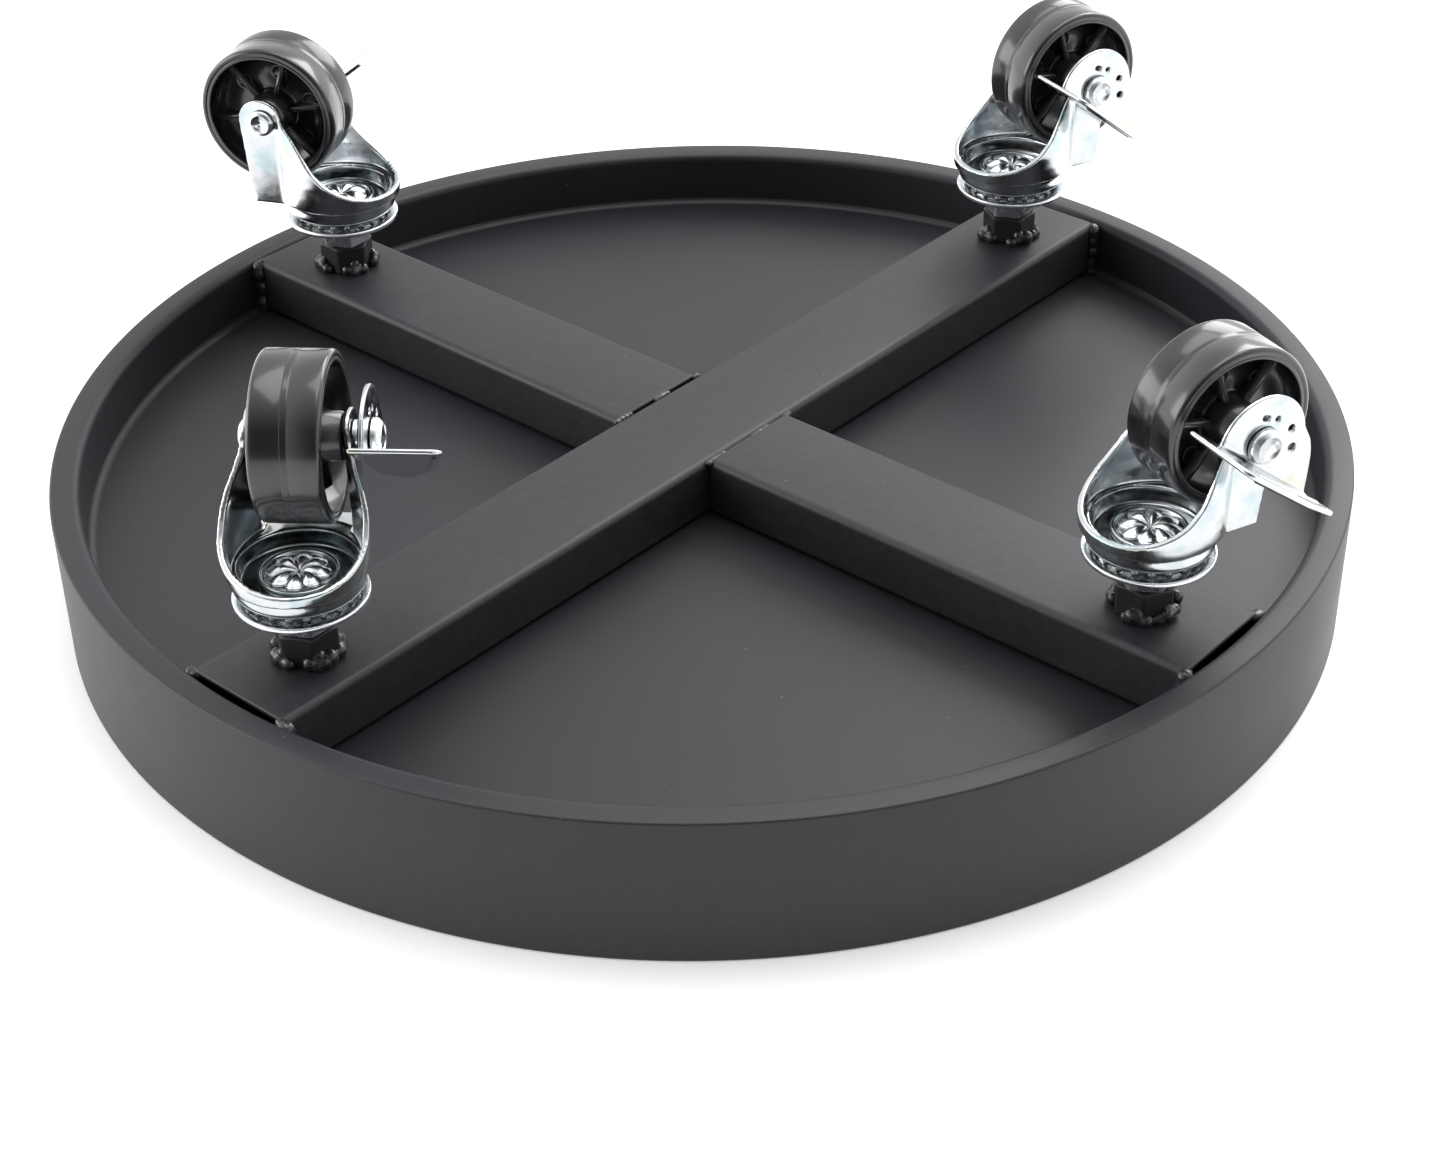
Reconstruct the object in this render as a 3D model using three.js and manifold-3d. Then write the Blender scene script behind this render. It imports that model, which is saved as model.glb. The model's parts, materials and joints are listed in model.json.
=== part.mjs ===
// Round furniture dolly, lying upside down on its ring with its four swivel casters up.
// Millimetres, +Z up, origin at the centre of the face that carries the load, which looks down here.
// Heights are drawn from the surface that the ring lies on, and the whole is lowered at the end.
import * as THREE from "three";
import { mergeVertices } from "three/addons/utils/BufferGeometryUtils.js";
import Module from "manifold-3d";

const wasm = await Module();
wasm.setup();

// ---------------------------------------------------------------- driving dimensions
const GAP = 0.3; // between two pieces that touch

const tray = {
  radius: 212.5, // outer face of the ring
  height: 49, // ring, edge to edge
  ringWidth: 9.5, // radial width of the ring's hollow section
  ringWall: 1.5,
  outerEdge: 0.9, // edge radius on the outside of the ring
  innerEdge: 3, // edge radius on the inside of the ring
  ventRadius: 2.5, // hole that lets the ring breathe in the coating oven
  deckThickness: 1.5,
  deckUnderside: 28.4, // height of the face that carries the tubes
  fillet: 3, // weld fillet between deck and ring
  segments: 72,
};
const tube = { width: 40, height: 20, wall: 1.5, edge: 2.5, reach: 199, seam: 0.6 };
const nut = { acrossFlats: 17, height: 10, bore: 5.1 };
const stem = { thread: 4.8, threadLength: 19, flats: 16, collar: 5, pin: 6, petals: 8, head: 9.6 };
const caster = { pitchRadius: 173.6, trail: 20.6, axleHeight: 109.2 };
const cup = { radius: 19.3, floor: 72, sheet: 2, webTop: 80 };
const race = { rim: 19.9, rimHeight: 70.2, sheet: 1.6 };
const balls = { count: 8, radius: 1.5, circle: 14, height: 70.1 };
const wheel = { radius: 25, halfWidth: 10.4, edge: 2, hub: 7, hubHalf: 12.8, web: 2.5, rim: 21.2 };
const axle = { radius: 3.05, clearance: 0.3, rivetHead: 4.6, lockHead: 5.7 };
const leg = {
  outer: 15.2,
  crease: 15.6,
  back: 28,
  tipRadius: 8.2,
  shoulder: -2, // where the legs' sides run into the round front
  noseReach: 21.5,
};
const lever = {
  inner: 18.9, // from the wheel's middle plane to the lobe's inner face
  sheet: 1.6,
  lobe: 15.2, // radius of the lobe round the axle
  fold: 6.3, // from the axle down to the foot plate
  front: 26, // the foot plate's two ends, along the fold
  back: 34,
  frontReach: 44.5, // the same ends, out from the wheel's middle plane
  backReach: 26,
  droop: 0, // degrees that the foot plate falls outwards
  tilt: -38, // degrees that it falls towards its back end
};

// Four casters: where each sits round the tray, and how far it is swivelled, in degrees.
const casters = [
  { at: 0, swivel: -19 },
  { at: 90, swivel: 116 },
  { at: 180, swivel: 38 },
  { at: 270, swivel: -20.5 },
];

// ---------------------------------------------------------------- materials
const finish = (color, roughness, metalness) =>
  new THREE.MeshStandardMaterial({ color, roughness, metalness });
const blackPaint = () => finish(0x1c1c1e, 0.5, 0.3);
const zinc = () => finish(0xc9ced2, 0.28, 1);
const blackPlastic = () => finish(0x161618, 0.35, 0);

// ---------------------------------------------------------------- shape helpers
const radians = THREE.MathUtils.degToRad;
const point = (x, y) => new THREE.Vector2(x, y);

// Points on a circular arc, from one angle to another in degrees.
function arc(cx, cy, radius, from, to, steps) {
  return Array.from({ length: steps + 1 }, (_, i) => {
    const angle = radians(from + ((to - from) * i) / steps);
    return point(cx + radius * Math.cos(angle), cy + radius * Math.sin(angle));
  });
}

// A closed profile of [radius, height] points, anticlockwise, turned round Y.
function turnedAboutY(profile, segments) {
  return new THREE.LatheGeometry([...profile, profile[0]], segments);
}

// The same, turned round Z.
function turned(profile, segments) {
  return turnedAboutY(profile, segments).rotateX(Math.PI / 2);
}

// A flat outline extruded along Z from one height to another.
function plate(outline, bottom, top, holes = []) {
  const shape = new THREE.Shape(outline);
  shape.holes = holes.map((hole) => new THREE.Path(hole));
  const depth = top - bottom;
  const geometry = new THREE.ExtrudeGeometry(shape, { depth, bevelEnabled: false });
  return geometry.translate(0, 0, bottom);
}

const circle = (radius, steps, cx = 0, cy = 0) => arc(cx, cy, radius, 0, 360, steps).slice(0, -1);

function hexagon(acrossFlats) {
  return circle(acrossFlats / Math.sqrt(3), 6);
}

function roundedBox(width, height, edge, steps) {
  const x = width / 2 - edge;
  const y = height / 2 - edge;
  return [
    ...arc(x, y, edge, 0, 90, steps),
    ...arc(-x, y, edge, 90, 180, steps),
    ...arc(-x, -y, edge, 180, 270, steps),
    ...arc(x, -y, edge, 270, 360, steps),
  ];
}

// A three.js geometry as a solid for cutting and joining, and back again.
function solid(geometry) {
  const loose = geometry.index ? geometry.toNonIndexed() : geometry;
  const bare = new THREE.BufferGeometry();
  bare.setAttribute("position", loose.getAttribute("position"));
  const merged = mergeVertices(bare, 1e-4);
  return new wasm.Manifold(
    new wasm.Mesh({
      numProp: 3,
      vertProperties: merged.attributes.position.array,
      triVerts: new Uint32Array(merged.index.array),
    }),
  );
}

function surface(body) {
  const mesh = body.getMesh();
  const geometry = new THREE.BufferGeometry();
  geometry.setAttribute("position", new THREE.BufferAttribute(mesh.vertProperties, 3));
  geometry.setIndex(new THREE.BufferAttribute(mesh.triVerts, 1));
  geometry.computeVertexNormals();
  return geometry;
}

// ---------------------------------------------------------------- tray
// Flat hollow section rolled into a ring, standing on edge.
function ringGeometry() {
  const outer = tray.radius;
  const inner = outer - tray.ringWidth;
  const { outerEdge: sharp, innerEdge: soft, ringWall: wall, height } = tray;
  const section = [
    ...arc(outer - sharp, sharp, sharp, 270, 360, 1),
    ...arc(outer - sharp, height - sharp, sharp, 0, 90, 1),
    ...arc(inner + soft, height - soft, soft, 90, 180, 2),
    ...arc(inner + soft, soft, soft, 180, 270, 2),
  ];
  const hollow = [
    point(inner + wall, 2 * wall),
    point(outer - wall, 2 * wall),
    point(outer - wall, height - 2 * wall),
    point(inner + wall, height - 2 * wall),
  ];
  const vent = new THREE.CylinderGeometry(tray.ventRadius, tray.ventRadius, tray.ringWidth, 10);
  vent.rotateZ(Math.PI / 2).translate(inner, 0, tray.height - 12);
  const skin = solid(turned(section, tray.segments));
  const space = solid(turned(hollow, tray.segments)).add(solid(vent));
  return surface(skin.subtract(space));
}

// Round plate welded inside the ring, with its fillet.
function deckGeometry() {
  const edge = tray.radius - tray.ringWidth - GAP;
  const under = tray.deckUnderside;
  const { fillet } = tray;
  const profile = [
    point(0, under - tray.deckThickness),
    point(edge, under - tray.deckThickness),
    ...arc(edge - fillet, under + fillet, fillet, 0, -90, 2),
    point(0, under),
  ];
  return new THREE.LatheGeometry(profile, tray.segments).rotateX(Math.PI / 2);
}

// Hollow tube along X from one end to the other, with a stem hole in its upper face.
function tubeGeometry(from, to, stemHoles) {
  const outline = roundedBox(tube.width, tube.height, tube.edge, 2);
  const bore = roundedBox(tube.width - 2 * tube.wall, tube.height - 2 * tube.wall, 1, 1);
  const bar = plate(outline, from, to, [bore]);
  bar.rotateX(Math.PI / 2).rotateZ(Math.PI / 2);
  bar.translate(0, 0, tray.deckUnderside + GAP + tube.height / 2);
  const cut = stemHoles.reduce((body, x) => {
    const drill = plate(circle(stem.thread + 0.7, 14, x), 38, 60);
    return body.subtract(solid(drill));
  }, solid(bar));
  return surface(cut);
}

const tubeFace = tray.deckUnderside + GAP + tube.height;
const nutTop = tubeFace + GAP + nut.height;
const collarTop = nutTop + GAP + stem.collar;

// ---------------------------------------------------------------- caster, swivel axis on Z
function weldNutGeometry() {
  return plate(hexagon(nut.acrossFlats), tubeFace + GAP, nutTop, [circle(nut.bore, 14)]);
}

// Threaded stem, hexagon collar, kingpin and its peened head, in one forging.
function stemGeometry() {
  const collarBottom = nutTop + GAP;
  const shank = plate(circle(stem.thread, 12), collarBottom - stem.threadLength, collarBottom + 1);
  const collar = plate(hexagon(stem.flats), collarBottom, collarTop);
  const headBottom = cup.floor + cup.sheet + race.sheet + 2 * GAP;
  const pin = plate(circle(stem.pin, 12), collarTop - 1, headBottom + 0.5);
  const star = Array.from({ length: 2 * stem.petals }, (_, i) => {
    const angle = (Math.PI * i) / stem.petals;
    const radius = i % 2 ? 0.62 * stem.head : stem.head;
    return point(radius * Math.cos(angle), radius * Math.sin(angle));
  });
  const head = plate(star, headBottom, headBottom + 2);
  return surface(solid(shank).add(solid(collar)).add(solid(pin)).add(solid(head)));
}

// Dished washer under the balls.
function lowerRaceGeometry() {
  const inner = stem.pin + GAP;
  const bottom = collarTop + GAP;
  const { rim, rimHeight, sheet } = race;
  return turned(
    [
      point(inner, bottom),
      point(10.5, bottom),
      point(17, rimHeight - sheet - 0.2),
      point(rim, rimHeight - sheet),
      point(rim, rimHeight),
      point(17.2, rimHeight - 0.2),
      point(10, bottom + sheet),
      point(inner, bottom + sheet),
    ],
    22,
  );
}

// Balls held in a thin cage.
function ballRingGeometry() {
  const { count, radius, circle: track, height } = balls;
  const cage = turned(
    [
      point(track - 0.6, height - 0.3),
      point(track + 0.6, height - 0.3),
      point(track + 0.6, height + 0.3),
      point(track - 0.6, height + 0.3),
    ],
    12,
  );
  let ring = solid(cage);
  for (let i = 0; i < count; i += 1) {
    const angle = (2 * Math.PI * i) / count;
    const ball = new THREE.SphereGeometry(radius, 4, 3).rotateX(Math.PI / 2);
    ball.translate(track * Math.cos(angle), track * Math.sin(angle), height);
    ring = ring.add(solid(ball));
  }
  return surface(ring);
}

// Cupped washer between the fork's floor and the kingpin's head.
function topRaceGeometry() {
  const inner = stem.pin + GAP;
  const bottom = cup.floor + cup.sheet + GAP;
  return turned(
    [
      point(inner, bottom),
      point(10.4, bottom),
      point(11.7, bottom + 1),
      point(11.7, bottom + 2.7),
      point(10.7, bottom + 2.7),
      point(10.2, bottom + race.sheet - 0.2),
      point(inner, bottom + race.sheet - 0.2),
    ],
    16,
  );
}

// Plan of the fork at one height: flat legs behind the crease, swelling ahead of it, round in front.
function forkPlan(flare, inset) {
  const side = leg.outer - inset;
  const swell = flare - leg.outer;
  const { crease, shoulder } = leg;
  const half = [point(leg.back + 6, side), point(crease, side)];
  for (const [along, share] of [[0.76, 0.43], [0.55, 0.77], [0.25, 0.96]]) {
    half.push(point(shoulder + along * (crease - shoulder), side + share * swell));
  }
  half.push(point(shoulder, side + swell));
  const reach = leg.noseReach + shoulder - inset;
  const nose = Array.from({ length: 9 }, (_, i) => {
    const angle = Math.PI / 2 + (Math.PI * (i + 1)) / 10;
    return point(shoulder + reach * Math.cos(angle), (side + swell) * Math.sin(angle));
  });
  const mirrored = half.map(({ x, y }) => point(x, -y)).reverse();
  return [...half, ...nose, ...mirrored];
}

// A skin through plans with equal numbers of points, closed at both ends.
function lofted(plans, heights) {
  const count = plans[0].length;
  const positions = [];
  plans.forEach((plan, level) => {
    plan.forEach(({ x, y }) => positions.push(x, y, heights[level]));
  });
  const faces = [];
  for (let level = 0; level + 1 < plans.length; level += 1) {
    for (let i = 0; i < count; i += 1) {
      const a = level * count + i;
      const b = level * count + ((i + 1) % count);
      faces.push(a, b, b + count, a, b + count, a + count);
    }
  }
  const lid = (plans.length - 1) * count;
  THREE.ShapeUtils.triangulateShape(plans[0], []).forEach(([a, b, c]) => faces.push(a, c, b));
  THREE.ShapeUtils.triangulateShape(plans.at(-1), []).forEach(([a, b, c]) =>
    faces.push(lid + a, lid + b, lid + c),
  );
  const geometry = new THREE.BufferGeometry();
  geometry.setAttribute("position", new THREE.Float32BufferAttribute(positions, 3));
  geometry.setIndex(faces);
  return geometry;
}

// Half-width of the fork over the swivel axis, from its web up to its widest.
const flares = [
  { height: cup.webTop - cup.sheet, flare: 20 },
  { height: 80.4, flare: 20.6 },
  { height: 83, flare: 21.1 },
  { height: 88, flare: 21.6 },
  { height: 95, flare: 21.6 },
  { height: 100, flare: 20.8 },
  { height: 105, flare: 19.4 },
  { height: 125, flare: 19.2 },
];

function forkSkin(inset, lift) {
  const plans = flares.map(({ flare }) => forkPlan(flare, inset));
  const heights = flares.map(({ height }, i) => (i === 0 ? height + lift : height));
  return solid(lofted(plans, heights));
}

// Outline of a leg seen from the side, which trims the pressed skin.
function legOutline() {
  const tip = point(caster.trail + 0.6, caster.axleHeight);
  return [
    point(-25, cup.floor - 1),
    point(19.4, cup.floor - 1),
    point(19.6, cup.webTop - 3),
    point(leg.back - 1.5, cup.webTop - 2.2),
    point(leg.back, 91),
    ...arc(tip.x, tip.y, leg.tipRadius, 0, 180, 6),
    point(11.2, 107.4),
    point(8.2, 104),
    point(5.4, 100.4),
    point(3, 96.6),
    point(0.8, 93),
    point(-2.2, 89.8),
    point(-6.5, 86.8),
    point(-12, 84),
    point(-17, 82),
    point(-25, 81),
  ];
}

// Pressed sheet fork: bearing cup, web behind it and two legs.
function forkGeometry() {
  const pan = solid(plate(circle(cup.radius, 24), cup.floor, cup.webTop + 1));
  const panSpace = solid(
    plate(circle(cup.radius - cup.sheet, 24), cup.floor + cup.sheet, cup.webTop + 20),
  );
  const pressed = pan.add(forkSkin(0, 0)).subtract(panSpace).subtract(forkSkin(cup.sheet, cup.sheet));
  const trim = plate(legOutline(), -40, 40).rotateX(Math.PI / 2);
  const kingpinHole = solid(plate(circle(stem.pin + GAP, 12), 60, 90));
  const axleHole = new THREE.CylinderGeometry(
    axle.radius + axle.clearance,
    axle.radius + axle.clearance,
    80,
    12,
  ).translate(caster.trail, 0, caster.axleHeight);
  return surface(
    pressed.intersect(solid(trim)).subtract(kingpinHole).subtract(solid(axleHole)),
  );
}

// Moulded wheel, turned about its axle on Y.
function wheelGeometry() {
  const { radius, halfWidth, edge, hub, hubHalf, web, rim } = wheel;
  const bore = axle.radius + axle.clearance;
  const upper = [
    ...arc(radius - edge, halfWidth - edge, edge, 0, 90, 2),
    point(rim, halfWidth),
    point(rim - 0.8, web),
    point(hub + 1, web),
    point(hub, hubHalf),
    point(bore, hubHalf),
  ];
  const lower = upper.map(({ x, y }) => point(x, -y)).reverse();
  return turnedAboutY([...upper, ...lower], 24);
}

// Rivet through both legs, the wheel and the brake lever: plain head on one side, large on the other.
function axleGeometry() {
  const plain = leg.outer + GAP;
  const lock = -(lever.inner + lever.sheet + GAP);
  const { radius, rivetHead, lockHead } = axle;
  const profile = [
    point(0, lock - 3.6),
    point(lockHead - 1.6, lock - 3.3),
    point(lockHead, lock - 1.6),
    point(lockHead, lock),
    point(radius, lock),
    point(radius, plain),
    point(rivetHead, plain),
    point(rivetHead, plain + 0.9),
    point(rivetHead - 1.6, plain + 2),
    point(0, plain + 2.2),
  ];
  return new THREE.LatheGeometry(profile, 14);
}

// Washer that presses the brake lever against its leg, on Y.
function brakeWasherGeometry() {
  const inner = axle.radius + axle.clearance;
  const near = -(leg.outer + GAP);
  const far = -(lever.inner - GAP);
  return turnedAboutY(
    [point(inner, far), point(4.9, far), point(4.9, near), point(inner, near)],
    14,
  );
}

// Pressed brake lever: upright lobe round the axle, and a foot plate folded out along its lower
// edge. Drawn level, with the axle on Y through the origin.
function brakeLeverGeometry() {
  const { inner, sheet, lobe, fold, front, back, frontReach, backReach, droop } = lever;
  const footAngle = (Math.asin(fold / lobe) * 180) / Math.PI;
  const lobeOutline = [
    point(-front + 1, -fold - sheet),
    point(back - 7, -fold - sheet),
    point(back - 7, -fold),
    point(back - 15, 7),
    point(13.2, 11),
    ...arc(0, 0, lobe, 57, 180 + footAngle, 9),
    point(-front + 1, -fold),
  ];
  const upright = plate(lobeOutline, inner, inner + sheet, [circle(axle.radius + axle.clearance, 12)]);
  upright.rotateX(Math.PI / 2);
  const footOutline = [
    point(-front, 0),
    ...arc(-front + 4, inner - frontReach + 4, 4, 180, 265, 3),
    ...arc(back - 3, inner - backReach + 3, 3, 285, 380, 3),
    point(back - 7, 0),
  ];
  const foot = plate(footOutline, -sheet, 0);
  foot.rotateX(radians(droop)).translate(0, -inner, -fold);
  return surface(solid(upright).add(solid(foot)));
}

// ---------------------------------------------------------------- assembly
const group = new THREE.Group();
const dolly = new THREE.Group();
dolly.position.z = tray.deckThickness - tray.deckUnderside;
group.add(dolly);

function add(parent, name, geometry, material) {
  const mesh = new THREE.Mesh(geometry, material);
  mesh.name = name;
  parent.add(mesh);
  return mesh;
}

add(dolly, "tray_ring", ringGeometry(), blackPaint());
add(dolly, "deck_plate", deckGeometry(), blackPaint());

const { pitchRadius } = caster;
const branch = tube.width / 2 + tube.seam;
const longTube = tubeGeometry(-tube.reach, tube.reach, [-pitchRadius, pitchRadius]);
add(dolly, "cross_tube_long", longTube, blackPaint());
const branches = [
  { name: "cross_tube_half_1", turn: Math.PI / 2 },
  { name: "cross_tube_half_2", turn: -Math.PI / 2 },
];
for (const { name, turn } of branches) {
  const half = add(dolly, name, tubeGeometry(branch, tube.reach, [pitchRadius]), blackPaint());
  half.rotation.z = turn;
}

casters.forEach(({ at, swivel }, index) => {
  const number = index + 1;
  const fixed = new THREE.Group();
  fixed.position.set(pitchRadius * Math.cos(radians(at)), pitchRadius * Math.sin(radians(at)), 0);
  dolly.add(fixed);
  add(fixed, `weld_nut_${number}`, weldNutGeometry(), blackPaint()).rotation.z = radians(at);
  add(fixed, `caster_stem_${number}`, stemGeometry(), zinc());
  add(fixed, `lower_race_${number}`, lowerRaceGeometry(), zinc());
  add(fixed, `ball_ring_${number}`, ballRingGeometry(), zinc());
  add(fixed, `top_race_${number}`, topRaceGeometry(), zinc());

  const swivelling = new THREE.Group();
  swivelling.rotation.z = radians(swivel);
  fixed.add(swivelling);
  add(swivelling, `fork_${number}`, forkGeometry(), zinc());

  const onAxle = new THREE.Group();
  onAxle.position.set(caster.trail, 0, caster.axleHeight);
  swivelling.add(onAxle);
  add(onAxle, `wheel_${number}`, wheelGeometry(), blackPlastic());
  add(onAxle, `wheel_axle_${number}`, axleGeometry(), zinc());
  add(onAxle, `brake_washer_${number}`, brakeWasherGeometry(), zinc());
  const brake = add(onAxle, `brake_lever_${number}`, brakeLeverGeometry(), zinc());
  brake.rotation.y = -radians(lever.tilt);
});

export default group;
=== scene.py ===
"""Round furniture dolly lying upside down on its ring, with its four braked swivel casters up."""

import json
import math
import random

import bmesh
import bpy
import numpy as np
from bpy.props import FloatProperty, FloatVectorProperty, IntProperty, PointerProperty
from mathutils import Matrix, Quaternion, Vector


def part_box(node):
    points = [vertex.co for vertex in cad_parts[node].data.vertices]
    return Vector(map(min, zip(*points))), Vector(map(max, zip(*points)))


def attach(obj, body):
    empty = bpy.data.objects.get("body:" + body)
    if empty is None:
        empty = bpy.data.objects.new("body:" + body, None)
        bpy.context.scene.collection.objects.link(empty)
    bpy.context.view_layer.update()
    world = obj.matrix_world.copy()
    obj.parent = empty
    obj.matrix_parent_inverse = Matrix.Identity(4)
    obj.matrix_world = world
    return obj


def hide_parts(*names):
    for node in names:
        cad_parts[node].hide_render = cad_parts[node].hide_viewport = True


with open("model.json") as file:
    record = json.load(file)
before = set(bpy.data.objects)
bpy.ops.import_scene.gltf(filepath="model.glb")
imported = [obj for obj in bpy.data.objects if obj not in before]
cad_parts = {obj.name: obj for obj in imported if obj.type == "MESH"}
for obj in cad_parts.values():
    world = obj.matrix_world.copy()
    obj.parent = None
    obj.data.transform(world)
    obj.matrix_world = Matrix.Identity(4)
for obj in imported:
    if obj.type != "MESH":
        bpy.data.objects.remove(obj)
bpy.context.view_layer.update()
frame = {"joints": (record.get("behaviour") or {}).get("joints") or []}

bl_info = {
    "name": "Furniture Dolly",
    "version": (1, 0, 0),
    "blender": (4, 5, 0),
    "location": "3D View > Sidebar > Dolly",
    "description": "Builds a round furniture dolly with welded tray and braked swivel casters",
    "category": "Object",
}

MM = 0.001
ring_low, ring_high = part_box("tray_ring")
deck_low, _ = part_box("deck_plate")
tube_low, tube_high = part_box("cross_tube_long")
half_low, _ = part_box("cross_tube_half_1")
nut_low, nut_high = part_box("weld_nut_1")
joints = {joint["name"]: joint for joint in frame["joints"]}
CASTERS = (1, 2, 3, 4)
GROUND = ring_low.z

# Sizes of the pressed and turned pieces, in millimetres; heights are above the ground.
GAP = 0.3
SHEET = 2.0
CUP_FLOOR, WEB_TOP, CUP_RADIUS = 72.0, 80.0, 19.3
TRAIL, AXLE_HEIGHT = 20.6, 109.2
LEG_SIDE, CREASE, SHOULDER, NOSE = 15.2, 15.6, -2.0, 19.5
PIN, COLLAR = 6.0, 5
RIVET, BORE, WASHER = 3.05, 3.35, 4.9
LEVER_INNER, LEVER_SHEET, LOBE, FOLD = 18.9, 1.6, 15.2, 6.3
LEVER_TILT = 38


def height(z):
    """Height above the ground in mm of a row-frame z in metres."""
    return (z - GROUND) / MM


# ------------------------------------------------------------------ settings
class TraySettings(bpy.types.PropertyGroup):
    radius: FloatProperty(
        name="Ring radius",
        description="Outer radius of the rolled ring",
        default=ring_high.x,
        unit="LENGTH",
    )
    ring_width: FloatProperty(
        name="Ring width",
        description="Radial width of the ring's section",
        default=9.5 * MM,
        unit="LENGTH",
    )
    sheet: FloatProperty(
        name="Deck sheet",
        description="Thickness of the deck plate",
        default=1.5 * MM,
        unit="LENGTH",
    )
    fillet: FloatProperty(
        name="Deck fillet",
        description="Radius of the weld between deck and ring",
        default=3 * MM,
        unit="LENGTH",
    )
    tube_edge: FloatProperty(
        name="Tube edge",
        description="Edge radius of the cross tubes",
        default=2.5 * MM,
        unit="LENGTH",
    )
    bead: FloatProperty(
        name="Weld bead",
        description="Radius of the weld beads",
        default=2.8 * MM,
        unit="LENGTH",
    )


class CasterSettings(bpy.types.PropertyGroup):
    wheel_radius: FloatProperty(
        name="Wheel radius",
        description="Radius of the moulded wheel",
        default=25 * MM,
        unit="LENGTH",
    )
    wheel_half_width: FloatProperty(
        name="Wheel half width",
        description="Half the width of the tread",
        default=10.4 * MM,
        unit="LENGTH",
    )
    spokes: IntProperty(
        name="Ribs",
        description="Stiffening ribs on each side of the wheel",
        default=6,
    )
    balls: IntProperty(
        name="Balls",
        description="Balls in the swivel bearing",
        default=20,
    )
    petals: IntProperty(
        name="Petals",
        description="Petals of the peened kingpin head",
        default=8,
    )


class FinishSettings(bpy.types.PropertyGroup):
    coat: FloatVectorProperty(
        name="Powder coat",
        description="Colour of the powder coat",
        default=(0.0095, 0.0093, 0.0125),
        subtype="COLOR",
        size=3,
    )
    zinc: FloatVectorProperty(
        name="Zinc",
        description="Colour of the zinc plating",
        default=(0.58, 0.595, 0.61),
        subtype="COLOR",
        size=3,
    )
    plastic: FloatVectorProperty(
        name="Wheel plastic",
        description="Colour of the moulded wheels",
        default=(0.0045, 0.0045, 0.0055),
        subtype="COLOR",
        size=3,
    )


class StageSettings(bpy.types.PropertyGroup):
    lens: FloatProperty(
        name="Lens",
        description="Focal length of the camera",
        default=65.11,
    )
    distance: FloatProperty(
        name="Distance",
        description="From the camera to the point it looks at",
        default=0.8843,
        unit="LENGTH",
    )
    azimuth: FloatProperty(
        name="Azimuth",
        description="Direction of the camera round the dolly",
        default=math.radians(310.83),
        subtype="ANGLE",
    )
    elevation: FloatProperty(
        name="Elevation",
        description="Height of the camera above the horizon",
        default=math.radians(33.72),
        subtype="ANGLE",
    )


SETTINGS = {
    "dolly_tray": TraySettings,
    "dolly_caster": CasterSettings,
    "dolly_finish": FinishSettings,
    "dolly_stage": StageSettings,
}


# ------------------------------------------------------------------ mesh helpers, in millimetres
def mesh_from(name, vertices, faces):
    mesh = bpy.data.meshes.new(name)
    mesh.from_pydata([tuple(float(c) * MM for c in v) for v in vertices], [], faces)
    tidy_mesh(mesh)
    return mesh


def tidy_mesh(mesh, merge=1e-6):
    bm = bmesh.new()
    bm.from_mesh(mesh)
    bmesh.ops.remove_doubles(bm, verts=bm.verts, dist=merge)
    bmesh.ops.recalc_face_normals(bm, faces=bm.faces)
    for face in bm.faces:
        face.smooth = True
    bm.to_mesh(mesh)
    bm.free()


def arc(cx, cy, radius, start, end, steps):
    angles = np.radians(np.linspace(start, end, steps + 1))
    return [(cx + radius * math.cos(a), cy + radius * math.sin(a)) for a in angles]


def rounded(points, radius, steps=4):
    """The polygon with each corner cut back by radius, or by its own number, and rounded."""
    radii = radius if isinstance(radius, (list, tuple)) else [radius] * len(points)
    made = []
    for i, corner in enumerate(points):
        p = Vector(corner)
        before, after = Vector(points[i - 1]), Vector(points[(i + 1) % len(points)])
        if radii[i] <= 0:
            made.append(tuple(p))
            continue
        a = p + (before - p).normalized() * min(radii[i], (before - p).length * 0.49)
        b = p + (after - p).normalized() * min(radii[i], (after - p).length * 0.49)
        for k in range(steps + 1):
            t = k / steps
            q = a * (1 - t) ** 2 + p * 2 * t * (1 - t) + b * t * t
            made.append(tuple(q))
    return made


def turned(name, profile, segments, about="Z"):
    """A closed profile of (radius, height) points turned round Z or Y."""
    vertices, faces = [], []
    count = len(profile)
    for s in range(segments):
        a = 2 * math.pi * s / segments
        for r, h in profile:
            x, y = r * math.cos(a), r * math.sin(a)
            vertices.append((x, y, h) if about == "Z" else (x, h, -y))
    for s in range(segments):
        t = (s + 1) % segments
        for i in range(count):
            j = (i + 1) % count
            if profile[i][0] < 1e-6 and profile[j][0] < 1e-6:
                continue
            faces.append((s * count + i, t * count + i, t * count + j, s * count + j))
    return mesh_from(name, vertices, faces)


def loft(name, sections):
    """A closed skin through sections, each the same number of points."""
    count = len(sections[0])
    vertices = [p for section in sections for p in section]
    faces = []
    for level in range(len(sections) - 1):
        for i in range(count):
            j = (i + 1) % count
            a, b = level * count, (level + 1) * count
            faces.append((a + i, a + j, b + j, b + i))
    last = (len(sections) - 1) * count
    faces.append(tuple(reversed(range(count))))
    faces.append(tuple(last + i for i in range(count)))
    return mesh_from(name, vertices, faces)


def prism(name, outline, low, high, lay=None):
    """An outline extruded from low to high along Z, then laid by a matrix."""
    mesh = loft(name, [[(x, y, low) for x, y in outline], [(x, y, high) for x, y in outline]])
    if lay is not None:
        mesh.transform(lay)
        tidy_mesh(mesh)
    return mesh


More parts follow.
